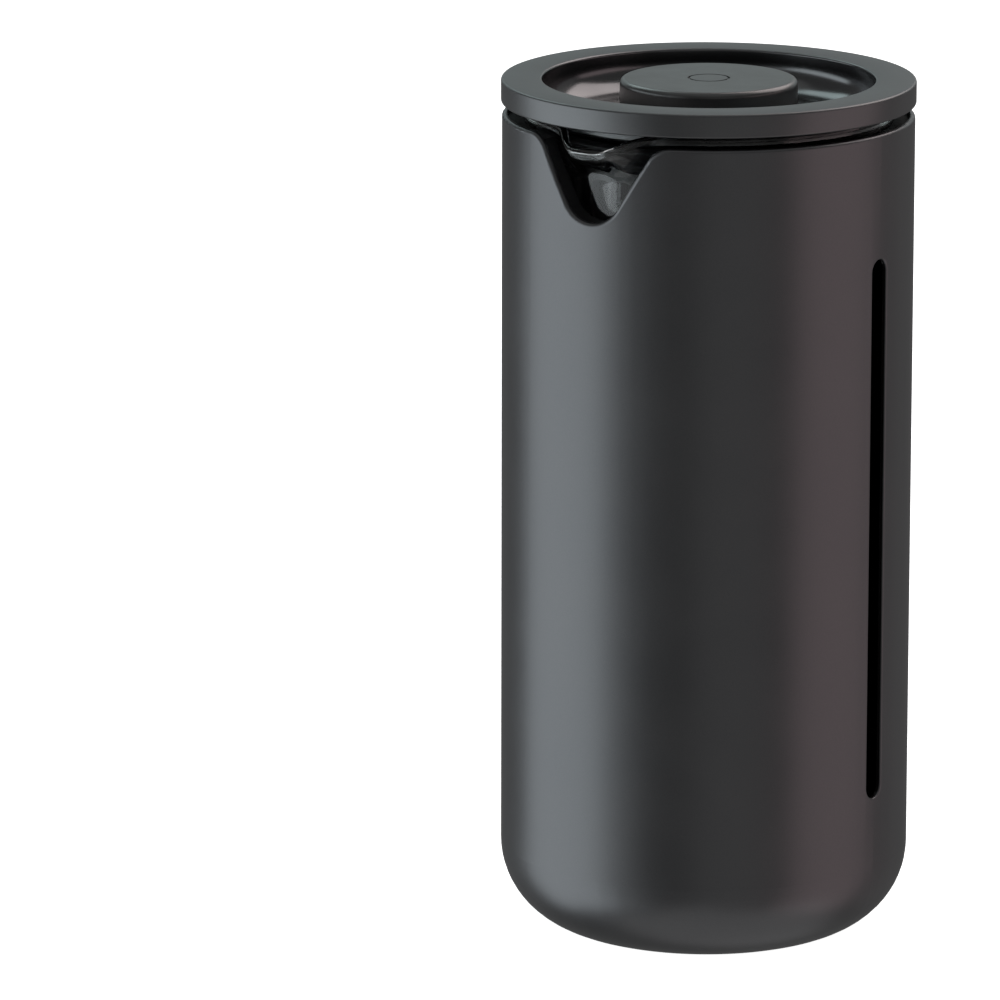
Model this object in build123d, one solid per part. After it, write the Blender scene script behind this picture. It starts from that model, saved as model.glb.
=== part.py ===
from build123d import *
import os
from math import atan2, cos, degrees, pi, radians

# French press in millimetres. The origin is on the pot's axis in the plane it stands on, +Z is up,
# the pouring spout faces -Y and the level window faces +X.

# Overall sizes
press_height = 177.0
shell_diameter = 83.6
glass_bore = 70.0

# Clearances
slip_gap = 0.05           # between pieces of one assembly that sit in each other
running_gap = 0.2         # between pieces that slide or turn past each other

# Outer shell and base pad
shell_wall = 1.0
shell_corner = 17.8
shell_edge_round = 0.8
shell_below_lid_top = 7.1
pad_diameter = 41.0
pad_thickness = 1.5
pad_proud = 0.5

# Glass liner and its spout
glass_wall = 2.3
glass_corner = 12.0
rim_bead = 2.6            # the rolled rim's thickness, from the wall's inside
rim_below_lid = 0.2
spout_overhang = 4.2      # how far the spout's rim line passes the shell
spout_width = 24.0
spout_dip = 2.7
spout_dip_start = 1.5     # outside the bore, where the rim starts to dip
spout_root_width = 8.0
spout_root_inset = 5.0    # inside the bore, to the middle of the spout's root
spout_root_depth = 24.0

# Pouring notch in the shell and the gasket
notch_side_gap = 1.8      # beside the spout, at the shell's edge
notch_side_slope = 0.6    # sideways run of a side for each millimetre of height
notch_top_round = 5.0
notch_bottom_round = 7.2

# Level window in the shell
window_width = 5.0
window_bottom = 33.0
window_below_edge = 25.4
window_edge_round = 0.35

# Cushion under the glass and gasket round it
cushion_thickness = 2.5
cushion_step = 1.0
gasket_height = 22.0
gasket_below_edge = 1.2

# Lid cover: ring, bowl and neck
lid_overhang = 0.2
ring_thickness = 4.8
bowl_opening_inset = 1.3  # inside the glass bore
bowl_corner = 6.0
bowl_floor = 2.0
lid_edge_round = 0.5
flange_gap = 0.5
flange_height = 2.4
flange_taper = 1.6
flange_taper_run = 1.8
neck_inset = 1.7
neck_wall = 2.5
seal_space_height = 5.1

# Screws under the lid
screw_count = 3
screw_first_angle = 30
screw_inset = 9.0         # from the neck's outside to a screw's middle
screw_shank = 2.5
screw_head = 5.2
screw_head_height = 1.8
screw_head_round = 1.1
screw_cover = 0.9         # left between a screw's end and the bowl
screw_boss_wall = 2.0
cross_recess_length = 3.2
cross_recess_width = 0.8
cross_recess_depth = 0.9

# Strainer skirt
skirt_gap = 1.0
skirt_wall = 1.6
skirt_height = 17.8
skirt_roof = 1.8
slot_count = 12
slot_width = 3.8
slot_rib = 0.77
slot_margin = 2.0
slot_bar = 1.8            # between the two rows of short slots
slot_corner = 0.9

# Rod, bush and rod seal
rod_diameter = 6.0
thread_step = 0.5
rod_end_chamfer = 0.4
bush_gap = 0.05
bush_length = 4.4
bush_flange = 1.2
bush_flange_width = 1.7
seal_section = 1.3
seal_gap = 0.1
seal_roof = 1.4
boss_wall = 1.3
clip_thickness = 0.5
clip_bite = 0.4           # how deep the clip sits in its groove
clip_width = 2.4
clip_opening = 3.0
clip_lip = 0.3

# Lid seal
lower_lip_height = 1.9
lower_lip_edge = 0.3
lip_notch = 0.4
lip_step = 0.25
upper_lip_drop = 0.6
upper_lip_edge = 0.2

# Knob
knob_diameter = 36.0
knob_thickness = 7.8
knob_lift = 0.4           # between the knob and the bowl when the plunger is down
knob_bottom_round = 3.0
knob_top_round = 1.2
knob_cap_thickness = 1.5
knob_wall = 3.0
knob_floor = 2.5
knob_spigot = 1.5
knob_spigot_wall = 1.0
insert_wall = 2.5
insert_cover = 0.7        # plastic under the insert
insert_groove = 0.6
insert_groove_height = 1.4
insert_below_cap = 0.6
core_wall = 2.5
ring_mark_diameter = 8.6
ring_mark_width = 0.5
ring_mark_depth = 0.25

# Filter
filter_bottom = 15.2
filter_rim_inset = 2.3    # inside the glass bore
filter_ring_inset = 2.2   # inside the rim
filter_ring_width = 4.7
filter_plate = 2.0
filter_rim = 1.0
filter_edge_round = 0.4
hub_height = 14.4
hub_round = 1.2
hub_wall = 1.35
hub_socket = 6.0          # how deep the rod's full diameter goes into the hub
arm_count = 3
arm_rib = 1.2
arm_width = 6.4
arm_foot_inset = 3.0      # inside the ring's edge
arm_drop = 7.0            # from the hub's top down to where a rib starts
window_corner = 1.8
mesh_inset = 0.5
mesh_thickness = 0.3
support_thickness = 0.8
support_hole = 3.0
support_pitch = 4.2
support_margin = 5.4
support_hub_margin = 0.9
wiper_height = 1.6
wiper_tip = 0.4
retainer_width = 4.5      # of the shelf under the plate
retainer_round = 2.0
retainer_height = 3.3
retainer_chamfer = 1.0
ferrule_wall = 1.4
ferrule_depth = 3.5
ferrule_proud = 0.4
nut_wall = 1.5
nut_height = 3.2
nut_chamfer = 0.6

# Heights worked out from the sizes above
lid_top = press_height
ring_bottom = lid_top - ring_thickness
shell_top = lid_top - shell_below_lid_top
shell_bottom = pad_proud
shell_floor = shell_bottom + shell_wall
recess_top = pad_thickness
glass_top = ring_bottom - rim_below_lid
glass_bottom = recess_top + shell_wall + cushion_thickness
knob_bottom = lid_top - knob_thickness
knob_seam = lid_top - knob_cap_thickness
insert_bottom = knob_bottom + insert_cover
insert_top = knob_seam - insert_below_cap
bowl_bottom = knob_bottom - knob_lift
lid_underside = bowl_bottom - bowl_floor
flange_bottom = ring_bottom - flange_height - flange_taper
skirt_top = flange_bottom - seal_space_height
skirt_bottom = skirt_top - skirt_height
skirt_roof_underside = skirt_top - skirt_roof
screw_top = bowl_bottom - screw_cover
seal_top = bowl_bottom - seal_roof
seal_bottom = seal_top - seal_section - 2 * seal_gap
bush_step = seal_bottom - bush_length
bush_bottom = bush_step - bush_flange
clip_top = bush_bottom - slip_gap
clip_bottom = clip_top - clip_thickness
boss_bottom = clip_bottom - clip_lip
plate_top = filter_bottom + retainer_height + support_thickness
frame_bottom = plate_top + mesh_thickness
plate_bottom = plate_top - support_thickness
hub_top = frame_bottom + hub_height
rib_top = hub_top - arm_drop
thread_top = hub_top - hub_socket
nut_bottom = plate_bottom - nut_height

# Radii worked out from the sizes above
shell_radius = shell_diameter / 2
shell_inside = shell_radius - shell_wall
glass_inside = glass_bore / 2
glass_outside = glass_inside + glass_wall
pad_seat = pad_diameter / 2 + slip_gap
recess_outside = pad_seat + shell_wall
lid_radius = shell_radius + lid_overhang
bowl_opening = glass_inside - bowl_opening_inset
flange_radius = glass_inside - flange_gap
flange_foot = flange_radius - flange_taper_run
neck_radius = flange_foot - neck_inset
screw_circle = neck_radius - screw_inset
skirt_radius = glass_inside - skirt_gap
skirt_inside = skirt_radius - skirt_wall
lip_radius = glass_inside - running_gap
rod_radius = rod_diameter / 2
thread_radius = rod_radius - thread_step
bush_seat = rod_radius + seal_section + 2 * seal_gap
flange_seat = bush_seat + bush_flange_width
clip_radius = flange_seat + clip_bite
boss_radius = clip_radius + boss_wall
knob_radius = knob_diameter / 2
insert_radius = thread_radius + insert_wall
filter_rim_radius = glass_inside - filter_rim_inset
filter_ring_radius = filter_rim_radius - filter_ring_inset
filter_window_radius = filter_ring_radius - filter_ring_width
mesh_radius = filter_ring_radius - mesh_inset
stack_seat = mesh_radius + slip_gap
ferrule_radius = rod_radius + ferrule_wall
hub_radius = ferrule_radius + hub_wall
nut_half_flats = thread_radius + nut_wall
nut_corner = nut_half_flats / cos(radians(30))

# The notch's sides, as the half width where their lines meet the shell's edge
notch_side_reach = spout_width / 2 + notch_side_gap
slot_pitch = degrees((slot_width + slot_rib) / skirt_radius)


def outline(points, rounds=()):
    """A closed flat outline, with the corner nearest each (x, y) in rounds rounded by its radius."""
    face = make_face(Polyline(*points, close=True))
    for x, y, radius in rounds:
        corner = face.vertices().sort_by_distance((x, y, 0))[0]
        face = fillet(corner, radius)
    return face


def turned(points, rounds=()):
    """A solid turned about Z from an outline of (radius, height) points."""
    return revolve(Plane.XZ * outline(points, rounds), Axis.Z)


def tube(outer, inner, bottom, top):
    """A plain ring between two radii and two heights."""
    return turned([(inner, bottom), (outer, bottom), (outer, top), (inner, top)])


def disc(radius, bottom, top):
    """A plain disc on the axis."""
    return Pos(0, 0, bottom) * Cylinder(radius, top - bottom, align=(Align.CENTER, Align.CENTER, Align.MIN))


def around(shape, count, first=0.0):
    """Copies of a shape, evenly about the axis."""
    return [Rot(0, 0, first + 360 * i / count) * shape for i in range(count)]


def notch_cutter():
    """The pouring notch's outline, pushed out towards the spout side."""
    root = shell_top - notch_side_reach / notch_side_slope
    above = press_height
    points = [
        (-shell_radius, above),
        (shell_radius, above),
        (shell_radius, shell_top),
        (notch_side_reach, shell_top),
        (0, root),
        (-notch_side_reach, shell_top),
        (-shell_radius, shell_top),
    ]
    rounds = [
        (notch_side_reach, shell_top, notch_top_round),
        (0, root, notch_bottom_round),
        (-notch_side_reach, shell_top, notch_top_round),
    ]
    return extrude(Plane.XZ * outline(points, rounds), shell_diameter)


def window_cutter():
    """The level window, pushed out towards +X."""
    length = shell_top - window_below_edge - window_bottom
    slot = Pos(0, window_bottom + length / 2) * SlotOverall(length, window_width, rotation=90)
    return extrude(Plane.YZ * slot, shell_diameter)


def beside_window(edge):
    """Whether an edge borders the level window."""
    box = edge.bounding_box()
    reach = window_width / 2 + window_edge_round + slip_gap
    return box.min.X > 0 and box.min.Y > -reach and box.max.Y < reach


def beside_notch(edge):
    """Whether an edge borders the notch or the shell's top."""
    return not beside_window(edge)


def on_skin(edge):
    """Whether an edge is above the bottom corner and isn't the seam that turning leaves."""
    box = edge.bounding_box()
    above_corner = box.min.Z > shell_bottom + shell_corner + shell_wall
    upright = box.size.X < slip_gap and box.size.Y < slip_gap
    turning_seam = upright and abs(box.center().Y) < window_width / 4
    return above_corner and not turning_seam


def skin_edges(shell):
    """The edges of the openings, on the shell's outside."""
    walls = shell.faces().filter_by(GeomType.CYLINDER)
    skin = [face for face in walls if abs(face.radius - shell_radius) < slip_gap]
    return ShapeList(edge for face in skin for edge in face.edges()).filter_by(on_skin)


def make_outer_shell():
    points = [
        (0, recess_top),
        (pad_seat, recess_top),
        (pad_seat, shell_bottom),
        (shell_radius, shell_bottom),
        (shell_radius, shell_top),
        (shell_inside, shell_top),
        (shell_inside, shell_floor),
        (recess_outside, shell_floor),
        (recess_outside, recess_top + shell_wall),
        (0, recess_top + shell_wall),
    ]
    rounds = [
        (shell_radius, shell_bottom, shell_corner),
        (shell_inside, shell_floor, shell_corner - shell_wall),
    ]
    shell = turned(points, rounds) - notch_cutter() - window_cutter()
    shell = fillet(skin_edges(shell).filter_by(beside_window), window_edge_round)
    return fillet(skin_edges(shell).filter_by(beside_notch), shell_edge_round)


def make_base_pad():
    radius = pad_diameter / 2
    points = [(0, 0), (radius, 0), (radius, pad_thickness), (0, pad_thickness)]
    return turned(points, [(radius, 0, pad_proud / 2)])


def spout_cone(wall):
    """The spout as a leaning cone, smaller all round by a wall, or larger by a negative one."""
    seat = shell_radius + spout_overhang - spout_width / 2
    root_seat = glass_inside - spout_root_inset
    top = Pos(0, -seat, glass_top) * Circle(spout_width / 2 - wall)
    root = Pos(0, -root_seat, glass_top - spout_root_depth) * Circle(spout_root_width / 2 - wall)
    return loft([root.face(), top.face()], ruled=True)


def above_lip():
    """The space over the spout's lip, which dips away from the rim."""
    start = glass_inside + spout_dip_start
    slope = degrees(atan2(spout_dip, shell_radius + spout_overhang - start))
    room = Box(glass_bore, glass_bore, glass_bore, align=(Align.CENTER, Align.MAX, Align.MIN))
    return Pos(0, -start, glass_top) * Rot(slope, 0, 0) * room


def make_glass_liner():
    bead_height = glass_top - rim_bead / 2
    bead_middle = glass_inside + rim_bead / 2
    corner = (glass_outside, glass_bottom)
    body = turned(
        [(0, glass_bottom), corner, (glass_outside, bead_height), (0, bead_height)],
        [(*corner, glass_corner)],
    )
    bead = revolve(Plane.XZ * Pos(bead_middle, bead_height) * Circle(rim_bead / 2), Axis.Z)
    floor = glass_bottom + glass_wall
    inner_corner = (glass_inside, floor)
    cavity = turned(
        [(0, floor), inner_corner, (glass_inside, press_height), (0, press_height)],
        [(*inner_corner, glass_corner - glass_wall)],
    )
    return body + bead + spout_cone(0) - cavity - spout_cone(glass_wall) - above_lip()


def make_liner_top_gasket():
    top = shell_top - gasket_below_edge
    band = tube(shell_inside - slip_gap, glass_outside + slip_gap, top - gasket_height, top)
    return band - notch_cutter() - spout_cone(-slip_gap)


def make_liner_bottom_cushion():
    outer = shell_radius - shell_corner
    seat = recess_top + shell_wall
    points = [
        (0, seat),
        (recess_outside + slip_gap, seat),
        (recess_outside + slip_gap, shell_floor),
        (outer, shell_floor),
        (outer, glass_bottom - cushion_step),
        (outer - cushion_step, glass_bottom),
        (0, glass_bottom),
    ]
    return turned(points)


def at_screws(shape):
    """Copies of a shape at the lid's screws."""
    return around(Pos(screw_circle, 0, 0) * shape, screw_count, screw_first_angle)


def make_lid_cover():
    points = [
        (rod_radius + running_gap, bowl_bottom),
        (bowl_opening, bowl_bottom),
        (bowl_opening, lid_top),
        (lid_radius, lid_top),
        (lid_radius, ring_bottom),
        (flange_radius, ring_bottom),
        (flange_radius, ring_bottom - flange_height),
        (flange_foot, flange_bottom),
        (neck_radius, flange_bottom),
        (neck_radius, skirt_top),
        (neck_radius - neck_wall, skirt_top),
        (neck_radius - neck_wall, lid_underside),
        (boss_radius, lid_underside),
        (boss_radius, boss_bottom),
        (flange_seat, boss_bottom),
        (flange_seat, clip_bottom - slip_gap),
        (clip_radius, clip_bottom - slip_gap),
        (clip_radius, clip_top),
        (flange_seat, clip_top),
        (flange_seat, bush_step),
        (bush_seat, bush_step),
        (bush_seat, seal_top),
        (rod_radius + running_gap, seal_top),
    ]
    rounds = [
        (bowl_opening, bowl_bottom, bowl_corner),
        (bowl_opening, lid_top, lid_edge_round),
        (lid_radius, lid_top, lid_edge_round),
        (lid_radius, ring_bottom, lid_edge_round),
    ]
    cover = turned(points, rounds)
    cover += at_screws(disc(screw_shank / 2 + screw_boss_wall, skirt_top, lid_underside))
    return cover - at_screws(disc(screw_shank / 2, skirt_top, screw_top))


def slot_row(middle_angle, bottom, height):
    """Cutters for one row of slots round a middle direction."""
    shape = Pos(0, bottom + height / 2) * RectangleRounded(slot_width, height, slot_corner)
    cutter = extrude(Plane.YZ * shape, skirt_radius * 2)
    first = middle_angle - slot_pitch * (slot_count - 1) / 2
    return [Rot(0, 0, first + slot_pitch * i) * cutter for i in range(slot_count)]


def make_strainer_skirt():
    hole = boss_radius + running_gap
    points = [
        (skirt_inside, skirt_bottom),
        (skirt_radius, skirt_bottom),
        (skirt_radius, skirt_top),
        (hole, skirt_top),
        (hole, skirt_roof_underside),
        (skirt_inside, skirt_roof_underside),
    ]
    low = skirt_bottom + slot_margin
    height = skirt_roof_underside - low
    short = (height - slot_bar) / 2
    skirt = turned(points)
    skirt -= slot_row(-90, low, height)
    skirt -= slot_row(90, low, short)
    skirt -= slot_row(90, low + short + slot_bar, short)
    return skirt - at_screws(disc(screw_shank / 2 + slip_gap, skirt_roof_underside, skirt_top))


def make_lid_screws():
    head_bottom = skirt_roof_underside - screw_head_height
    head_radius = screw_head / 2
    points = [
        (0, head_bottom),
        (head_radius, head_bottom),
        (head_radius, skirt_roof_underside),
        (0, skirt_roof_underside),
    ]
    head = turned(points, [(head_radius, head_bottom, screw_head_round)])
    shank = disc(screw_shank / 2 - slip_gap, skirt_roof_underside, screw_top - slip_gap)
    bar = Pos(0, 0, head_bottom + cross_recess_depth / 2)
    bar *= Box(cross_recess_length, cross_recess_width, cross_recess_depth)
    screw = head + shank - bar - Rot(0, 0, 90) * bar
    return Compound(at_screws(screw))


def make_rod_bush():
    bore = rod_radius + bush_gap
    flange = flange_seat - slip_gap
    body = bush_seat - slip_gap
    points = [
        (bore, bush_bottom),
        (flange, bush_bottom),
        (flange, bush_step),
        (body, bush_step),
        (body, seal_bottom),
        (bore, seal_bottom),
    ]
    return turned(points)


def make_bush_clip():
    outer = clip_radius - slip_gap
    clip = tube(outer, outer - clip_width, clip_bottom, clip_top)
    return clip - Pos(outer, 0, clip_top) * Box(2 * outer, clip_opening, 4 * clip_thickness)


def make_rod_seal():
    middle = rod_radius + seal_gap + seal_section / 2
    height = seal_bottom + seal_gap + seal_section / 2
    return revolve(Plane.XZ * Pos(middle, height) * Circle(seal_section / 2), Axis.Z)


def make_lid_seal():
    inner = neck_radius + running_gap
    top = flange_bottom - running_gap / 2
    bottom = skirt_top + running_gap / 2
    waist = flange_foot + lip_step
    lower_lip = bottom + lower_lip_height
    points = [
        (inner, bottom),
        (skirt_radius - lip_step, bottom),
        (lip_radius - lip_step, lower_lip - lower_lip_edge),
        (waist, lower_lip),
        (waist, lower_lip + lip_notch),
        (lip_radius, top - upper_lip_drop),
        (lip_radius, top - upper_lip_edge),
        (waist, top),
        (inner, top),
    ]
    return turned(points)


def make_plunger_rod():
    slim = thread_radius - rod_end_chamfer
    top = insert_top - rod_end_chamfer
    points = [
        (0, nut_bottom),
        (slim, nut_bottom),
        (thread_radius, nut_bottom + rod_end_chamfer),
        (thread_radius, thread_top),
        (rod_radius, thread_top),
        (rod_radius, insert_bottom),
        (thread_radius, insert_bottom),
        (thread_radius, top - rod_end_chamfer),
        (slim, top),
        (0, top),
    ]
    return turned(points)


def insert_side():
    """The insert's grooved side, which the knob is moulded round."""
    middle = (insert_bottom + insert_top) / 2
    half_groove = insert_groove_height / 2
    return [
        (insert_radius, insert_bottom),
        (insert_radius, middle - half_groove),
        (insert_radius - insert_groove, middle - half_groove),
        (insert_radius - insert_groove, middle + half_groove),
        (insert_radius, middle + half_groove),
        (insert_radius, insert_top),
    ]


def make_knob_insert():
    return turned(insert_side() + [(thread_radius, insert_top), (thread_radius, insert_bottom)])


def make_knob_body():
    inner = knob_radius - knob_wall
    hole = rod_radius + running_gap
    floor = knob_bottom + knob_floor
    core = insert_radius + core_wall
    points = insert_side() + [
        (core, insert_top),
        (core, floor),
        (inner, floor),
        (inner, knob_seam),
        (knob_radius, knob_seam),
        (knob_radius, knob_bottom),
        (hole, knob_bottom),
        (hole, insert_bottom),
    ]
    return turned(points, [(knob_radius, knob_bottom, knob_bottom_round)])


def make_knob_cap():
    spigot = knob_radius - knob_wall - slip_gap
    spigot_bottom = knob_seam - knob_spigot
    mark = ring_mark_diameter / 2
    mark_floor = lid_top - ring_mark_depth
    points = [
        (0, knob_seam),
        (spigot - knob_spigot_wall, knob_seam),
        (spigot - knob_spigot_wall, spigot_bottom),
        (spigot, spigot_bottom),
        (spigot, knob_seam),
        (knob_radius, knob_seam),
        (knob_radius, lid_top),
        (mark, lid_top),
        (mark, mark_floor),
        (mark - ring_mark_width, mark_floor),
        (mark - ring_mark_width, lid_top),
        (0, lid_top),
    ]
    return turned(points, [(knob_radius, lid_top, knob_top_round)])


def make_rod_ferrule():
    bottom = hub_top - ferrule_depth
    top = hub_top + ferrule_proud
    points = [(rod_radius, bottom), (ferrule_radius, bottom), (ferrule_radius, top), (rod_radius, top)]
    return turned(points, [(ferrule_radius, top, ferrule_proud / 2)])


def filter_windows():
    """The openings between the arms, with rounded corners."""
    arm = Pos(filter_ring_radius / 2, 0) * Rectangle(filter_ring_radius, arm_width)
    windows = Circle(filter_window_radius) - Circle(hub_radius)
    for one in around(arm, arm_count):
        windows -= one
    return fillet(windows.vertices(), window_corner)


def arm_ribs():
    """The two thin upright ribs of each arm."""
    foot = filter_ring_radius - arm_foot_inset
    top = frame_bottom + filter_plate
    points = [(0, frame_bottom), (foot, frame_bottom), (foot, top), (hub_radius, rib_top), (0, rib_top)]
    side = outline(points)
    rib = extrude(Plane.XZ * side, arm_rib)
    left = around(Pos(0, arm_width / 2, 0) * rib, arm_count)
    right = around(Pos(0, arm_rib - arm_width / 2, 0) * rib, arm_count)
    return left + right


def make_filter_frame():
    top = frame_bottom + filter_plate
    points = [
        (0, frame_bottom),
        (filter_rim_radius, frame_bottom),
        (filter_rim_radius, frame_bottom + filter_rim),
        (filter_ring_radius, frame_bottom + filter_rim),
        (filter_ring_radius, top),
        (0, top),
    ]
    base = turned(points, [(filter_ring_radius, top, filter_edge_round)])
    base -= extrude(Pos(0, 0, frame_bottom) * filter_windows(), filter_plate)
    post = turned(
        [(0, frame_bottom), (hub_radius, frame_bottom), (hub_radius, hub_top), (0, hub_top)],
        [(hub_radius, hub_top, hub_round)],
    )
    frame = base + post + arm_ribs()
    frame -= disc(thread_radius + slip_gap, frame_bottom, thread_top)
    frame -= disc(rod_radius + slip_gap, thread_top, hub_top)
    return frame - disc(ferrule_radius + slip_gap, hub_top - ferrule_depth, hub_top)


def make_filter_mesh():
    return tube(mesh_radius, thread_radius + slip_gap, plate_top, frame_bottom)


def make_mesh_support():
    plate = tube(mesh_radius, thread_radius + slip_gap, plate_bottom, plate_top)
    hole = disc(support_hole / 2, plate_bottom, plate_top)
    outermost = mesh_radius - support_margin
    innermost = nut_corner + support_hub_margin + support_hole / 2
    rings = int((outermost - innermost) / support_pitch) + 1
    for ring in range(rings):
        radius = outermost - ring * support_pitch
        count = int(2 * pi * radius / support_pitch)
        plate -= around(Pos(radius, 0, 0) * hole, count)
    return plate


def make_filter_seal():
    bottom = frame_bottom - wiper_height
    middle = frame_bottom - wiper_height / 2
    points = [
        (stack_seat, bottom),
        (filter_rim_radius, bottom),
        (lip_radius, middle - wiper_tip / 2),
        (lip_radius, middle + wiper_tip / 2),
        (filter_rim_radius, frame_bottom),
        (stack_seat, frame_bottom),
    ]
    return turned(points)


def make_mesh_retainer():
    bore = filter_ring_radius - retainer_width
    groove = frame_bottom - wiper_height
    points = [
        (bore, plate_bottom),
        (stack_seat, plate_bottom),
        (stack_seat, groove),
        (filter_rim_radius, groove),
        (filter_rim_radius, filter_bottom),
        (bore + retainer_chamfer, filter_bottom),
        (bore, filter_bottom + retainer_chamfer),
    ]
    return turned(points, [(filter_rim_radius, filter_bottom, retainer_round)])


def make_hub_nut():
    hexagon = Pos(0, 0, nut_bottom) * RegularPolygon(nut_half_flats, 6, major_radius=False)
    points = [
        (0, nut_bottom),
        (nut_corner - nut_chamfer, nut_bottom),
        (nut_corner, nut_bottom + nut_chamfer),
        (nut_corner, plate_bottom),
        (0, plate_bottom),
    ]
    return (extrude(hexagon, nut_height) & turned(points)) - disc(thread_radius, nut_bottom, plate_bottom)


pieces = {
    "outer_shell": make_outer_shell,
    "base_pad": make_base_pad,
    "glass_liner": make_glass_liner,
    "liner_top_gasket": make_liner_top_gasket,
    "liner_bottom_cushion": make_liner_bottom_cushion,
    "lid_seal": make_lid_seal,
    "lid_cover": make_lid_cover,
    "strainer_skirt": make_strainer_skirt,
    "lid_screws": make_lid_screws,
    "rod_bush": make_rod_bush,
    "bush_clip": make_bush_clip,
    "rod_seal": make_rod_seal,
    "knob_cap": make_knob_cap,
    "knob_body": make_knob_body,
    "knob_insert": make_knob_insert,
    "plunger_rod": make_plunger_rod,
    "rod_ferrule": make_rod_ferrule,
    "filter_frame": make_filter_frame,
    "filter_mesh": make_filter_mesh,
    "mesh_support": make_mesh_support,
    "filter_seal": make_filter_seal,
    "mesh_retainer": make_mesh_retainer,
    "hub_nut": make_hub_nut,
}

os.makedirs("parts", exist_ok=True)
for name, make in pieces.items():
    export_step(make(), "parts/" + name + ".step")
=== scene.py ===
"""French press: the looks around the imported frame. Metres, in the frame's own axes.

The spout faces -Y, the level window faces +X and the rod stands on the Z axis.
"""
import math

import bmesh
import bpy
from mathutils import Matrix, Vector


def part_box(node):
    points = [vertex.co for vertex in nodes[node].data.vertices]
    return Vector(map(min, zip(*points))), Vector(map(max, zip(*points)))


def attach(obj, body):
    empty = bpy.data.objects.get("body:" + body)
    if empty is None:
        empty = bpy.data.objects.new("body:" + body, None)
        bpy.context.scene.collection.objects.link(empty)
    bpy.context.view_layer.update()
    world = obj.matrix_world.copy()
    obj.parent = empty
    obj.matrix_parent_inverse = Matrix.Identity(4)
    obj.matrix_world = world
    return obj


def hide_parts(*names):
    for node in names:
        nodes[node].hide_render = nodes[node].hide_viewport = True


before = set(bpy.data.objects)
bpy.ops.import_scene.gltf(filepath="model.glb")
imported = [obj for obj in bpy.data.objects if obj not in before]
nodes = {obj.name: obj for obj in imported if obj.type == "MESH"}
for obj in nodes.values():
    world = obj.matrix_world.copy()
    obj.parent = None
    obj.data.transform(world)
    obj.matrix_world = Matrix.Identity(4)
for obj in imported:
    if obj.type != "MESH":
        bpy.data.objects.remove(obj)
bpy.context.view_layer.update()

MM = 0.001
SCENE = bpy.context.scene
WELD = 0.004 * MM

# The camera stands between the spout's side and the level window's, a little above the lid
CAMERA_AZIMUTH = math.radians(34.3)
CAMERA_DISTANCE = 1.631
CAMERA_HEIGHT = 0.4706
CAMERA_PITCH = math.radians(13.162)
CAMERA_YAW = math.radians(1.478)
CAMERA_ROLL = math.radians(0.074)
CAMERA_LENS = 294.87
SENSOR_WIDTH = 36
CLIP_START = 0.05

# Studio: strengths of the even light, of the white behind everything and of the floor's glow
EVEN_LIGHT = 0.16
BACKDROP = 1.0
FLOOR_SIZE = 6
FLOOR_TONE = 0.93
FLOOR_GLOW = 0.96

# Finishes
TEXTURE_DEPTH = 0.03 * MM

# Glass beaker
GLASS_WALL = 2.3 * MM
GLASS_CORNER = 12 * MM
RIM_BEAD = 2.6 * MM
RIM_PROUD = 0.3 * MM
BEAD_START = -40
BEAD_END = 180
BEAD_POINTS = 13
SPOUT_DEPTH = 30 * MM
SPOUT_ROW = 2 * MM
WALL_ROWS = 8
BEAKER_STEPS = 168
CORNER_CUTS = 8
BEAD_DROP = 1.4 * MM

# Pouring lip: two pulls outwards and down, each with a half width, the height below the rim that
# it takes hold of, its share of the lip's overhang, its drop and how far it carries
LIP_PULLS = (
    (2 * MM, 1.5 * MM, 0.36, 0.8 * MM, 15 * MM),
    (4 * MM, 2.7 * MM, 0.58, 1.1 * MM, 8 * MM),
)
LIP_TIP = 40.5 * MM
LIP_HALF_WIDTH = 5 * MM
LIP_HEIGHT = 8 * MM
LIP_SQUASH = 0.62
SQUASH_REACH = 5 * MM

# Filter gauze
GAUZE_PITCH = 0.72 * MM
GAUZE_WIRE = 0.15 * MM
GAUZE_SIDES = 4
ROD_HOLE = 2.7 * MM

# Silicone seals
SEAL_STEPS = 160
SEAL_RING = 3.6 * MM
SEAL_WAIST = 1.9 * MM
LOWER_LIP_SET = 0.25 * MM
WIPER_REACH = 4.75 * MM
LIP_ROUND = 0.15 * MM
WAIST_ROUND = 0.25 * MM
WIPER_LIP_ROUND = 0.28 * MM
WIPER_ROOT_ROUND = 0.5 * MM

# Lid
LID_STEPS = 240
RING_THICKNESS = 4.8 * MM
BOWL_INSET = 1.1 * MM
BOWL_CORNER = 6 * MM
BOWL_FLOOR = 2 * MM
LID_EDGE = 0.5 * MM
BOWL_CUTS = 16
EDGE_CUTS = 6
FLANGE_EDGE = 0.2 * MM
BOWL_ROUGHNESS = 0.19
FLANGE_INSET = 0.3 * MM
FLANGE_TAPER = 1.8 * MM
NECK_INSET = 3.8 * MM
SEAT_WALL = 1.3 * MM
BUSH_FLANGE = 1.2 * MM
KNOB_LIFT = 0.4 * MM
FLANGE_HEIGHT = 2.4 * MM
NECK_WALL = 2.5 * MM
SCREW_CIRCLE = 22 * MM
SCREW_BOSS = 3.25 * MM
SCREW_SHANK = 1.25 * MM
RUNNING_GAP = 0.2 * MM
SLIP_GAP = 0.05 * MM
SEAT_GAP = 0.1 * MM
SCREWS = 3
FIRST_SCREW = 30
BOSS_SIDES = 32


# ---------------------------------------------------------------- camera, light and floor


def around_axis(azimuth, distance, height):
    """A point at a distance from the press, at an azimuth from the camera's side of it."""
    angle = CAMERA_AZIMUTH + azimuth
    return Vector((distance * math.sin(angle), -distance * math.cos(angle), height))


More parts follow.
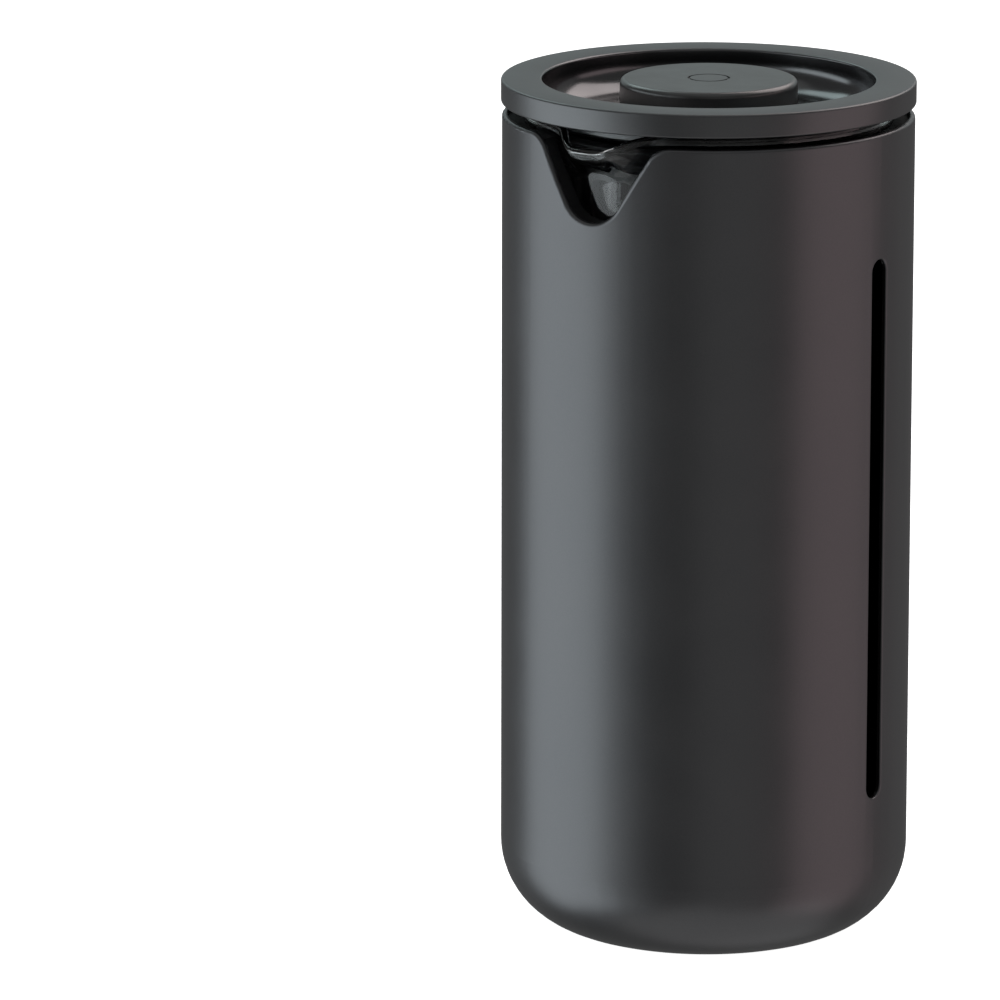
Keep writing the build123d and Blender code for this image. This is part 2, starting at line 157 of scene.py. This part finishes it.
def make_camera():
    """The scene's one camera."""
    camera = bpy.data.objects.new("camera", bpy.data.cameras.new("camera"))
    SCENE.collection.objects.link(camera)
    camera.data.lens = CAMERA_LENS
    camera.data.sensor_width = SENSOR_WIDTH
    camera.data.clip_start = CLIP_START
    turn = Matrix.Rotation(CAMERA_AZIMUTH + CAMERA_YAW, 4, "Z")
    tilt = Matrix.Rotation(math.pi / 2 - CAMERA_PITCH, 4, "X")
    roll = Matrix.Rotation(CAMERA_ROLL, 4, "Z")
    place = Matrix.Translation(around_axis(0, CAMERA_DISTANCE, CAMERA_HEIGHT))
    camera.matrix_world = place @ turn @ tilt @ roll
    SCENE.camera = camera


def softbox(name, azimuth, distance, height, aim, size, radiance, colour):
    """A soft panel that faces a height on the axis. Its power follows from its area and radiance."""
    light = bpy.data.lights.new(name, "AREA")
    light.shape = "RECTANGLE"
    light.size, light.size_y = size
    light.energy = radiance * math.pi * size[0] * size[1]
    light.color = colour
    panel = bpy.data.objects.new(name, light)
    SCENE.collection.objects.link(panel)
    panel.location = around_axis(math.radians(azimuth), distance, height)
    to_axis = Vector((0, 0, aim)) - panel.location
    panel.rotation_euler = to_axis.to_track_quat("-Z", "Y").to_euler()


def light_scene():
    """Panels: azimuth, distance, height, the height they face, size, radiance and colour."""
    softbox("left_softbox", -87, 1.0, -0.3, -0.3, (1.15, 1.5), 1.7, (0.88, 0.96, 1.0))
    softbox("left_edge", -48, 1.05, -0.1, -0.1, (0.3, 1.9), 0.4, (0.92, 0.97, 1.0))
    softbox("right_softbox", 77, 1.0, -0.3, -0.3, (1.05, 1.5), 0.56, (1.0, 0.77, 0.79))
    softbox("right_rear", 127, 1.1, -0.1, -0.1, (0.6, 1.6), 0.1, (1.0, 0.96, 0.96))
    softbox("front_fill", 15, 1.2, -0.2, -0.2, (0.9, 1.6), 0.15, (1.0, 1.0, 1.0))
    softbox("back_softbox", 180, 1.4, 0.62, 0.62, (2.4, 0.8), 0.27, (0.8, 0.99, 1.0))
    softbox("top_softbox", 0, 0.0, 1.3, 0, (2.0, 2.0), 0.2, (0.98, 1.0, 1.0))
    softbox("rear_left", -150, 0.8, 0.86, 0.17, (0.5, 0.5), 1.8, (0.82, 1.0, 1.0))
    softbox("rear_right", 136, 0.8, 0.9, 0.17, (1.0, 0.7), 2.4, (1.0, 0.89, 0.87))
    softbox("under_bounce", 35, 0.2, -0.7, 0, (1.2, 0.9), 0.37, (1.0, 1.0, 1.0))


def make_world():
    """White behind everything, and a dim even light on the press."""
    world = bpy.data.worlds.new("studio")
    SCENE.world = world
    world.use_nodes = True
    tree = world.node_tree
    tree.nodes.clear()
    path = tree.nodes.new("ShaderNodeLightPath")
    dim = tree.nodes.new("ShaderNodeBackground")
    dim.inputs["Color"].default_value = (1, 1, 1, 1)
    dim.inputs["Strength"].default_value = EVEN_LIGHT
    white = tree.nodes.new("ShaderNodeBackground")
    white.inputs["Color"].default_value = (1, 1, 1, 1)
    white.inputs["Strength"].default_value = BACKDROP
    mix = tree.nodes.new("ShaderNodeMixShader")
    out = tree.nodes.new("ShaderNodeOutputWorld")
    tree.links.new(path.outputs["Is Camera Ray"], mix.inputs[0])
    tree.links.new(dim.outputs[0], mix.inputs[1])
    tree.links.new(white.outputs[0], mix.inputs[2])
    tree.links.new(mix.outputs[0], out.inputs["Surface"])
    SCENE.view_settings.view_transform = "Standard"


def make_floor():
    """Pale floor that neither reflections nor glass show, and that casts no shadow."""
    bpy.ops.mesh.primitive_plane_add(size=FLOOR_SIZE, location=(0, 0, 0))
    floor = bpy.context.object
    floor.name = "floor"
    material, _, shader = start_finish("pale_floor")
    shader.inputs["Base Color"].default_value = (FLOOR_TONE, FLOOR_TONE, FLOOR_TONE, 1)
    shader.inputs["Roughness"].default_value = 0.9
    shader.inputs["Emission Color"].default_value = (1, 1, 1, 1)
    shader.inputs["Emission Strength"].default_value = FLOOR_GLOW
    floor.data.materials.append(material)
    floor.visible_glossy = False
    floor.visible_transmission = False
    floor.visible_shadow = False


# ---------------------------------------------------------------- finishes


def start_finish(name):
    """A new material, its node tree and its shader."""
    material = bpy.data.materials.new(name)
    material.use_nodes = True
    return material, material.node_tree, material.node_tree.nodes["Principled BSDF"]


def place(tree, stretch=(1, 1, 1)):
    """The surface's own place, stretched along each axis."""
    here = tree.nodes.new("ShaderNodeTexCoord")
    mapping = tree.nodes.new("ShaderNodeMapping")
    mapping.inputs["Scale"].default_value = stretch
    tree.links.new(here.outputs["Object"], mapping.inputs["Vector"])
    return mapping.outputs["Vector"]


def grain(tree, where, size, detail=2.0):
    """Noise with lumps of a size, in metres."""
    noise = tree.nodes.new("ShaderNodeTexNoise")
    noise.inputs["Scale"].default_value = 1 / size
    noise.inputs["Detail"].default_value = detail
    tree.links.new(where, noise.inputs["Vector"])
    return noise.outputs["Fac"]


def levels(tree, value, low, high, from_low=0.3, from_high=0.7):
    """A pattern's usual range brought to run from low to high."""
    remap = tree.nodes.new("ShaderNodeMapRange")
    remap.inputs["From Min"].default_value = from_low
    remap.inputs["From Max"].default_value = from_high
    remap.inputs["To Min"].default_value = low
    remap.inputs["To Max"].default_value = high
    tree.links.new(value, remap.inputs["Value"])
    return remap.outputs["Result"]


def calculate(tree, operation, first, second):
    """One sum on two values, each a socket or a number."""
    node = tree.nodes.new("ShaderNodeMath")
    node.operation = operation
    for socket, value in zip(node.inputs, (first, second)):
        if isinstance(value, (int, float)):
            socket.default_value = value
        else:
            tree.links.new(value, socket)
    return node.outputs["Value"]


def two_tone(tree, factor, dark, light):
    """A colour between two, by a factor from 0 to 1."""
    mix = tree.nodes.new("ShaderNodeMix")
    mix.data_type = "RGBA"
    mix.inputs["A"].default_value = (*dark, 1)
    mix.inputs["B"].default_value = (*light, 1)
    tree.links.new(factor, mix.inputs["Factor"])
    return mix.outputs["Result"]


def bump(tree, shader, height, strength, distance):
    """Raises the surface by a pattern, in its shading alone."""
    node = tree.nodes.new("ShaderNodeBump")
    node.inputs["Strength"].default_value = strength
    node.inputs["Distance"].default_value = distance
    tree.links.new(height, node.inputs["Height"])
    tree.links.new(node.outputs["Normal"], shader.inputs["Normal"])


def radius_from_axis(tree):
    """How far the surface is from the Z axis."""
    split = tree.nodes.new("ShaderNodeSeparateXYZ")
    tree.links.new(place(tree), split.inputs["Vector"])
    across = calculate(tree, "MULTIPLY", split.outputs["X"], split.outputs["X"])
    along = calculate(tree, "MULTIPLY", split.outputs["Y"], split.outputs["Y"])
    return calculate(tree, "SQRT", calculate(tree, "ADD", across, along), 0.0)


def surface_finish(name, dark, light, rough, metal, lump, texture, depth):
    """A finish with a drifting tone, a drifting roughness and a fine texture.

    rough is the lowest and highest roughness, lump the size of the drift, texture the size of
    the fine texture and depth the strength of its bump.
    """
    material, tree, shader = start_finish(name)
    where = place(tree)
    drift = grain(tree, where, lump, 3.0)
    fine = grain(tree, where, texture, 2.0)
    half_drift = calculate(tree, "MULTIPLY", drift, 0.5)
    half_fine = calculate(tree, "MULTIPLY", fine, 0.5)
    both = calculate(tree, "ADD", half_drift, half_fine)
    tree.links.new(two_tone(tree, levels(tree, both, 0, 1), dark, light), shader.inputs["Base Color"])
    tree.links.new(levels(tree, drift, *rough), shader.inputs["Roughness"])
    shader.inputs["Metallic"].default_value = metal
    bump(tree, shader, fine, depth, TEXTURE_DEPTH)
    return material, tree, shader


def shell_finish():
    dark = (0.103, 0.104, 0.108)
    light = (0.117, 0.117, 0.12)
    return surface_finish("satin_gunmetal", dark, light, (0.345, 0.375), 1.0, 18 * MM, 0.3 * MM, 0.1)[0]


def lid_finish():
    """The shell's coat on the ring, and a smoother one in the bowl."""
    dark = (0.108, 0.11, 0.113)
    light = (0.122, 0.123, 0.125)
    material, tree, shader = surface_finish(
        "satin_gunmetal_lid", dark, light, (0.36, 0.39), 1.0, 12 * MM, 0.3 * MM, 0.1
    )
    bowl_edge = nodes_radius("lid_seal") - BOWL_INSET
    ring = levels(tree, radius_from_axis(tree), 0, 1, bowl_edge, bowl_edge + 0.3 * MM)
    mix = tree.nodes.new("ShaderNodeMix")
    mix.inputs["A"].default_value = BOWL_ROUGHNESS
    old = shader.inputs["Roughness"].links[0].from_socket
    tree.links.new(ring, mix.inputs["Factor"])
    tree.links.new(old, mix.inputs["B"])
    tree.links.new(mix.outputs["Result"], shader.inputs["Roughness"])
    return material


def knob_finish():
    dark = (0.014, 0.015, 0.015)
    light = (0.019, 0.02, 0.02)
    material, _, shader = surface_finish(
        "soft_touch_knob", dark, light, (0.29, 0.35), 0.0, 9 * MM, 0.25 * MM, 0.16
    )
    shader.inputs["Specular IOR Level"].default_value = 1.0
    return material


def plastic_finish():
    dark = (0.011, 0.011, 0.012)
    light = (0.019, 0.019, 0.02)
    return surface_finish("moulded_black", dark, light, (0.34, 0.46), 0.0, 7 * MM, 0.22 * MM, 0.1)[0]


def silicone_finish():
    dark = (0.007, 0.007, 0.008)
    light = (0.012, 0.012, 0.013)
    material, _, shader = surface_finish(
        "black_silicone", dark, light, (0.55, 0.68), 0.0, 5 * MM, 0.5 * MM, 0.15
    )
    shader.inputs["Specular IOR Level"].default_value = 0.3
    return material


def pad_finish():
    """Soft pad under the base, with fine moulded rings."""
    dark = (0.014, 0.014, 0.015)
    light = (0.024, 0.024, 0.025)
    ring_pitch = 1.6 * MM
    material, tree, shader = surface_finish(
        "grip_pad", dark, light, (0.6, 0.75), 0.0, 6 * MM, 0.3 * MM, 0.2
    )
    turns = calculate(tree, "MULTIPLY", radius_from_axis(tree), 2 * math.pi / ring_pitch)
    rings = calculate(tree, "SINE", turns, 0.0)
    bump(tree, shader, rings, 0.5, 0.08 * MM)
    return material


def glass_finish():
    """Clear glass with a faint green body, faint waves and a little bloom."""
    material, tree, shader = start_finish("clear_glass")
    where = place(tree)
    smears = grain(tree, where, 16 * MM, 4.0)
    waves = grain(tree, where, 22 * MM, 1.0)
    tree.links.new(
        two_tone(tree, levels(tree, smears, 0, 1), (0.94, 0.97, 0.96), (0.98, 0.99, 0.99)),
        shader.inputs["Base Color"],
    )
    tree.links.new(levels(tree, smears, 0.0, 0.03, 0.45, 0.75), shader.inputs["Roughness"])
    shader.inputs["Transmission Weight"].default_value = 1.0
    shader.inputs["IOR"].default_value = 1.47
    bump(tree, shader, waves, 0.15, 0.2 * MM)
    return material


def drawn_steel(name, dark, light, rough, stretch, line, depth):
    """Bare steel with fine lines along one axis."""
    material, tree, shader = start_finish(name)
    lines = grain(tree, place(tree, stretch), line, 3.0)
    drift = grain(tree, place(tree), 9 * MM, 2.0)
    tree.links.new(two_tone(tree, levels(tree, lines, 0, 1), dark, light), shader.inputs["Base Color"])
    roughness = calculate(tree, "ADD", levels(tree, lines, *rough), levels(tree, drift, 0.0, 0.04))
    tree.links.new(roughness, shader.inputs["Roughness"])
    shader.inputs["Metallic"].default_value = 1.0
    bump(tree, shader, lines, depth, 0.01 * MM)
    return material


def rod_finish():
    dark = (0.62, 0.62, 0.61)
    light = (0.74, 0.74, 0.72)
    return drawn_steel("polished_rod", dark, light, (0.1, 0.2), (1, 1, 0.012), 0.25 * MM, 0.2)


def wire_finish():
    dark = (0.5, 0.5, 0.49)
    light = (0.66, 0.66, 0.65)
    return drawn_steel("woven_wire", dark, light, (0.24, 0.36), (1, 1, 1), 0.4 * MM, 0.1)


def plate_finish():
    dark = (0.52, 0.52, 0.52)
    light = (0.64, 0.64, 0.63)
    return drawn_steel("rolled_plate", dark, light, (0.22, 0.34), (0.02, 1, 1), 0.3 * MM, 0.2)


def fastener_finish():
    dark = (0.5, 0.5, 0.5)
    light = (0.63, 0.63, 0.62)
    return drawn_steel("turned_steel", dark, light, (0.2, 0.32), (1, 1, 0.05), 0.2 * MM, 0.2)


def brass_finish():
    dark = (0.62, 0.46, 0.2)
    light = (0.74, 0.58, 0.28)
    return drawn_steel("turned_brass", dark, light, (0.2, 0.32), (1, 1, 0.05), 0.2 * MM, 0.2)


def bush_finish():
    dark = (0.6, 0.58, 0.53)
    light = (0.68, 0.66, 0.61)
    return surface_finish(
        "natural_low_friction", dark, light, (0.28, 0.36), 0.0, 4 * MM, 0.3 * MM, 0.1
    )[0]


def finish_node(material, *names):
    """Gives a finish to every material slot of some nodes."""
    for name in names:
        for slot in nodes[name].material_slots:
            slot.material = material


# ---------------------------------------------------------------- hand work on a mesh


def nodes_radius(name):
    """How far a node reaches from the axis, towards -X."""
    return -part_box(name)[0][0]


def deselect():
    """Leaves no object selected."""
    bpy.ops.object.select_all(action="DESELECT")


def pick(piece, belongs):
    """Selects the vertices whose place belongs, and nothing else."""
    bpy.ops.mesh.select_all(action="DESELECT")
    mesh = bmesh.from_edit_mesh(piece.data)
    for vertex in mesh.verts:
        vertex.select = belongs(vertex.co)
    mesh.select_flush(True)
    bmesh.update_edit_mesh(piece.data)


def draw_profile(name, points, closed=True):
    """A wire outline of (radius, height) points, drawn vertex by vertex. Stays in edit mode."""
    deselect()
    bpy.ops.mesh.primitive_plane_add(size=MM)
    piece = bpy.context.object
    piece.name = name
    bpy.ops.object.mode_set(mode="EDIT")
    bpy.ops.mesh.select_all(action="SELECT")
    bpy.ops.mesh.merge(type="CENTER")
    bpy.ops.transform.translate(value=(points[0][0], 0, points[0][1]))
    ends = points[1:] + points[:1] if closed else points[1:]
    for start, end in zip(points, ends):
        step = (end[0] - start[0], 0, end[1] - start[1])
        bpy.ops.mesh.extrude_region_move(TRANSFORM_OT_translate={"value": step})
    bpy.ops.mesh.select_all(action="SELECT")
    bpy.ops.mesh.remove_doubles(threshold=WELD)
    return piece


def round_corner(piece, corner, radius, segments=5):
    """Rounds the outline's corner at a (radius, height)."""
    at = Vector((corner[0], 0, corner[1]))
    pick(piece, lambda co: (co - at).length < WELD * 4)
    bpy.ops.mesh.bevel(offset=radius, segments=segments, affect="VERTICES")


def turn(steps):
    """Spins the outline round the axis and closes the surface."""
    bpy.ops.mesh.select_all(action="SELECT")
    bpy.ops.mesh.spin(steps=steps, angle=2 * math.pi, center=(0, 0, 0), axis=(0, 0, 1))
    bpy.ops.mesh.select_all(action="SELECT")
    bpy.ops.mesh.remove_doubles(threshold=WELD)
    bpy.ops.mesh.normals_make_consistent(inside=False)


def pull(piece, belongs, move, reach):
    """Moves some vertices, and those within reach of them less and less."""
    pick(piece, belongs)
    bpy.ops.transform.translate(
        value=move,
        use_proportional_edit=True,
        proportional_edit_falloff="SMOOTH",
        proportional_size=reach,
    )


def apply_modifier(piece, kind, **settings):
    """Adds a modifier of a kind with some settings, and applies it."""
    modifier = piece.modifiers.new(kind.lower(), kind)
    for name, value in settings.items():
        setattr(modifier, name, value)
    bpy.ops.object.modifier_apply(modifier=modifier.name)


def smooth(piece, levels_count=0, angle=40):
    """Back to object mode, with the surface refined and shaded smooth."""
    bpy.ops.object.mode_set(mode="OBJECT")
    if levels_count:
        apply_modifier(piece, "SUBSURF", levels=levels_count, render_levels=levels_count)
    bpy.ops.object.shade_smooth_by_angle(angle=math.radians(angle))


def hand_over(piece, material, body, slot, *replaced):
    """Gives a piece its finish and tells the frame what it rides on and replaces."""
    piece.data.materials.clear()
    piece.data.materials.append(material)
    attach(piece, body)
    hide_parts(*replaced)
    piece.select_set(False)


# ---------------------------------------------------------------- pieces


def beaker_outline(low, high):
    """The beaker's outline from the middle of its underside, over the rim, to the middle of its floor."""
    bead = RIM_BEAD / 2
    bead_radius = high[0] - bead
    outside = high[0] - RIM_PROUD
    inside = outside - GLASS_WALL
    bead_height = high[2] - bead
    points = [(0, low[2]), (outside, low[2])]
    wall_top = bead_height - BEAD_DROP
    wall_foot = low[2] + GLASS_CORNER
    spout_root = wall_top - SPOUT_DEPTH
    for row in range(1, WALL_ROWS):
        points.append((outside, wall_foot + (spout_root - wall_foot) * row / WALL_ROWS))
    spout_rows = round(SPOUT_DEPTH / SPOUT_ROW)
    rows = [spout_root + SPOUT_DEPTH * row / spout_rows for row in range(spout_rows + 1)]
    points += [(outside, height) for height in rows]
    for point in range(BEAD_POINTS):
        angle = math.radians(BEAD_START + (BEAD_END - BEAD_START) * point / (BEAD_POINTS - 1))
        points.append((bead_radius + bead * math.cos(angle), bead_height + bead * math.sin(angle)))
    points += [(inside, height) for height in reversed(rows)]
    for row in range(WALL_ROWS - 1, 0, -1):
        points.append((inside, wall_foot + (spout_root - wall_foot) * row / WALL_ROWS))
    points += [(inside, low[2] + GLASS_WALL), (0, low[2] + GLASS_WALL)]
    return points, outside, inside


def make_glass_beaker(material):
    """Blown beaker with a rolled rim, whose front is drawn out and down into a pouring lip."""
    low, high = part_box("glass_liner")
    points, outside, inside = beaker_outline(low, high)
    piece = draw_profile("glass_beaker", points, closed=False)
    round_corner(piece, (outside, low[2]), GLASS_CORNER, CORNER_CUTS)
    round_corner(piece, (inside, low[2] + GLASS_WALL), GLASS_CORNER - GLASS_WALL, CORNER_CUTS)
    turn(BEAKER_STEPS)
    rim = high[2]
    reach = -low[1] - high[0]
    for half_width, hold, share, drop, carry in LIP_PULLS:
        pull(
            piece,
            lambda co: co.y < 0 and abs(co.x) < half_width and co.z > rim - hold,
            (0, -share * reach, -drop),
            carry,
        )
    squash_lip(piece, rim)
    smooth(piece, 1)
    hand_over(piece, material, "carafe", "clear_glass", "glass_liner")


def squash_lip(piece, rim):
    """Thins the rolled rim at the lip's tip."""
    lip = LIP_HALF_WIDTH
    pick(piece, lambda co: co.y < -LIP_TIP and abs(co.x) < lip and co.z > rim - LIP_HEIGHT)
    bpy.ops.transform.resize(
        value=(1, 1, LIP_SQUASH),
        use_proportional_edit=True,
        proportional_edit_falloff="SMOOTH",
        proportional_size=SQUASH_REACH,
    )


def lid_outline(low, high):
    """The lid's outline: bowl, ring, flange, neck and the seat of the bush."""
    seal_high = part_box("lid_seal")[1]
    bush_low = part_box("rod_bush")[0]
    clip_low, clip_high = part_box("bush_clip")
    skirt_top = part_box("strainer_skirt")[1][2]
    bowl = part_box("knob_body")[0][2] - KNOB_LIFT
    hole = nodes_radius("plunger_rod") + RUNNING_GAP
    lip = seal_high[0]
    ring_bottom = high[2] - RING_THICKNESS
    flange = lip - FLANGE_INSET
    neck = lip - NECK_INSET
    inside = neck - NECK_WALL
    seal_seat = seal_high[2] + SEAT_GAP
    bush = nodes_radius("rod_bush") + SLIP_GAP
    bush_seat = bush_low[2] + BUSH_FLANGE
    clip = nodes_radius("bush_clip") + SLIP_GAP
    clip_seat = clip_low[2] - SLIP_GAP
    ring = nodes_radius("rod_seal") + SEAT_GAP
    ring_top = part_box("rod_seal")[1][2] + SEAT_GAP
    return [
        (hole, bowl),
        (lip - BOWL_INSET, bowl),
        (lip - BOWL_INSET, high[2]),
        (high[0], high[2]),
        (high[0], ring_bottom),
        (flange, ring_bottom),
        (flange, ring_bottom - FLANGE_HEIGHT),
        (flange - FLANGE_TAPER, seal_seat),
        (neck, seal_seat),
        (neck, skirt_top),
        (inside, skirt_top),
        (inside, bowl - BOWL_FLOOR),
        (clip + SEAT_WALL, bowl - BOWL_FLOOR),
        (clip + SEAT_WALL, low[2]),
        (bush, low[2]),
        (bush, clip_seat),
        (clip, clip_seat),
        (clip, clip_high[2]),
        (bush, clip_high[2]),
        (bush, bush_seat),
        (ring, bush_seat),
        (ring, ring_top),
        (hole, ring_top),
    ]


def screw_boss(number, bottom, top):
    """The hollow post that one of the lid's screws goes into."""
    angle = math.radians(FIRST_SCREW + 360 / SCREWS * number)
    middle = (SCREW_CIRCLE * math.cos(angle), SCREW_CIRCLE * math.sin(angle), (bottom + top) / 2)
    depth = top - bottom
    deselect()
    bpy.ops.mesh.primitive_cylinder_add(
        vertices=BOSS_SIDES, radius=SCREW_BOSS, depth=depth, location=middle
    )
    boss = bpy.context.object
    bpy.ops.object.transform_apply(location=True, rotation=True, scale=True)
    bpy.ops.object.mode_set(mode="EDIT")
    bpy.ops.mesh.select_mode(type="FACE")
    mesh = bmesh.from_edit_mesh(boss.data)
    for face in mesh.faces:
        face.select = face.normal.z < -0.9
    bmesh.update_edit_mesh(boss.data)
    bpy.ops.mesh.inset(thickness=SCREW_BOSS - SCREW_SHANK)
    bpy.ops.mesh.extrude_region_move(TRANSFORM_OT_translate={"value": (0, 0, depth - MM)})
    bpy.ops.mesh.select_mode(type="VERT")
    bpy.ops.object.mode_set(mode="OBJECT")
    return boss


def make_lid(material):
    """Ring and dished bowl turned in one piece, with the neck below and three screw posts."""
    low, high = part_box("lid_cover")
    points = lid_outline(low, high)
    piece = draw_profile("lid_ring_and_bowl", points)
    round_corner(piece, points[1], BOWL_CORNER, BOWL_CUTS)
    for corner in points[2:5]:
        round_corner(piece, corner, LID_EDGE, EDGE_CUTS)
    for corner in points[5:8]:
        round_corner(piece, corner, FLANGE_EDGE, 2)
    turn(LID_STEPS)
    smooth(piece, 0, 30)
    boss_bottom = points[9][1]
    boss_top = points[11][1] + 0.3 * MM
    bosses = [screw_boss(number, boss_bottom, boss_top) for number in range(SCREWS)]
    deselect()
    for boss in bosses:
        boss.select_set(True)
    piece.select_set(True)
    bpy.context.view_layer.objects.active = piece
    bpy.ops.object.join()
    bpy.ops.object.shade_smooth_by_angle(angle=math.radians(30))
    hand_over(piece, material, "lid", "lid_metal", "lid_cover")


def make_lid_seal(material):
    """Soft ring with two thin lips that rub on the glass."""
    low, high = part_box("lid_seal")
    outer = high[0]
    inner = outer - SEAL_RING
    waist = outer - SEAL_WAIST
    lower_lip = outer - LOWER_LIP_SET
    bottom, top = low[2], high[2]
    points = [
        (inner, bottom),
        (outer - 1.3 * MM, bottom),
        (lower_lip, bottom + 1.3 * MM),
        (lower_lip, bottom + 1.65 * MM),
        (waist, bottom + 2.0 * MM),
        (waist, bottom + 2.55 * MM),
        (outer, top - 0.75 * MM),
        (outer, top - 0.35 * MM),
        (waist, top),
        (inner, top),
    ]
    piece = draw_profile("lid_lip_seal", points)
    for corner in points[2:4] + points[6:8]:
        round_corner(piece, corner, LIP_ROUND, 3)
    for corner in (points[4], points[5], points[8]):
        round_corner(piece, corner, WAIST_ROUND, 3)
    turn(SEAL_STEPS)
    smooth(piece)
    hand_over(piece, material, "lid_grip", "black_silicone", "lid_seal")


def make_wiper(material):
    """Soft ring round the filter, with one rounded lip."""
    low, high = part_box("filter_seal")
    outer = high[0]
    seat = outer - WIPER_REACH
    rim = nodes_radius("filter_frame")
    bottom, top = low[2], high[2]
    middle = (bottom + top) / 2
    points = [
        (seat, bottom),
        (rim, bottom),
        (outer, middle - 0.3 * MM),
        (outer, middle + 0.3 * MM),
        (rim, top),
        (seat, top),
    ]
    piece = draw_profile("filter_wiper", points)
    for corner in points[2:4]:
        round_corner(piece, corner, WIPER_LIP_ROUND, 3)
    for corner in (points[1], points[4]):
        round_corner(piece, corner, WIPER_ROOT_ROUND, 3)
    turn(SEAL_STEPS)
    smooth(piece)
    hand_over(piece, material, "plunger", "black_silicone", "filter_seal")


def crimped_wire(name, length, crossings, height, phase):
    """One wire along X, bent over and under the wires that cross it."""
    deselect()
    bpy.ops.mesh.primitive_cylinder_add(
        vertices=GAUZE_SIDES, radius=GAUZE_WIRE / 2, depth=length, rotation=(0, math.pi / 2, 0)
    )
    wire = bpy.context.object
    wire.name = name
    bpy.ops.object.transform_apply(location=True, rotation=True, scale=True)
    bpy.ops.object.mode_set(mode="EDIT")
    mesh = bmesh.from_edit_mesh(wire.data)
    for edge in mesh.edges:
        edge.select = abs(edge.verts[0].co.x - edge.verts[1].co.x) > length / 2
    bmesh.update_edit_mesh(wire.data)
    bpy.ops.mesh.subdivide(number_cuts=crossings - 1)
    pitch = length / crossings
    for side, rise in ((0, height), (1, -height)):
        pick(wire, lambda co: round((co.x + length / 2) / pitch) % 2 == (side + phase) % 2)
        bpy.ops.transform.translate(value=(0, 0, rise))
    bpy.ops.object.mode_set(mode="OBJECT")
    return wire


def laid_wires(name, count, phase, first):
    """Every second wire of one direction, side by side along Y."""
    low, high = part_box("filter_mesh")
    rise = (high[2] - low[2] - GAUZE_WIRE) / 2
    wire = crimped_wire(name, count * GAUZE_PITCH, count, rise, phase)
    wire.location.y = first
    bpy.ops.object.transform_apply(location=True, rotation=True, scale=True)
    apply_modifier(
        wire,
        "ARRAY",
        count=count // 2,
        use_relative_offset=False,
        use_constant_offset=True,
        constant_offset_displace=(0, 2 * GAUZE_PITCH, 0),
    )
    return wire


def make_filter_gauze(material):
    """Woven wire disc with a hole for the rod."""
    low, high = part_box("filter_mesh")
    rim = high[0] - 0.1 * MM
    count = 2 * math.ceil(rim / GAUZE_PITCH)
    start = -(count - 1) / 2 * GAUZE_PITCH
    layers = []
    for turned in (0, 1):
        for phase in (0, 1):
            name = "wires_%d%d" % (turned, phase)
            wires = laid_wires(name, count, phase, start + phase * GAUZE_PITCH)
            wires.rotation_euler.z = turned * math.pi / 2
            layers.append(wires)
    deselect()
    for layer in layers:
        layer.select_set(True)
    bpy.context.view_layer.objects.active = layers[0]
    bpy.ops.object.transform_apply(location=True, rotation=True, scale=True)
    bpy.ops.object.join()
    piece = layers[0]
    piece.name = "filter_gauze"
    piece.location.z = (low[2] + high[2]) / 2
    bpy.ops.object.transform_apply(location=True, rotation=True, scale=True)
    bpy.ops.object.mode_set(mode="EDIT")
    pick(piece, lambda co: not ROD_HOLE < math.hypot(co.x, co.y) < rim)
    bpy.ops.mesh.delete(type="VERT")
    bpy.ops.mesh.select_all(action="SELECT")
    bpy.ops.mesh.fill_holes(sides=GAUZE_SIDES)
    bpy.ops.mesh.delete_loose(use_verts=True, use_edges=True, use_faces=False)
    smooth(piece, 0, 80)
    hand_over(piece, material, "plunger", "steel_mesh", "filter_mesh")


# ---------------------------------------------------------------- the whole press


make_camera()
light_scene()
make_world()
make_floor()

plastic = plastic_finish()
silicone = silicone_finish()
fasteners = fastener_finish()
finish_node(shell_finish(), "outer_shell")
finish_node(knob_finish(), "knob_cap", "knob_body")
finish_node(plastic, "strainer_skirt", "filter_frame", "mesh_retainer")
finish_node(silicone, "liner_top_gasket", "liner_bottom_cushion", "rod_seal")
finish_node(pad_finish(), "base_pad")
finish_node(rod_finish(), "plunger_rod", "rod_ferrule")
finish_node(plate_finish(), "mesh_support")
finish_node(fasteners, "lid_screws", "bush_clip", "hub_nut")
finish_node(brass_finish(), "knob_insert")
finish_node(bush_finish(), "rod_bush")

make_glass_beaker(glass_finish())
make_lid(lid_finish())
make_lid_seal(silicone)
make_wiper(silicone)
make_filter_gauze(wire_finish())
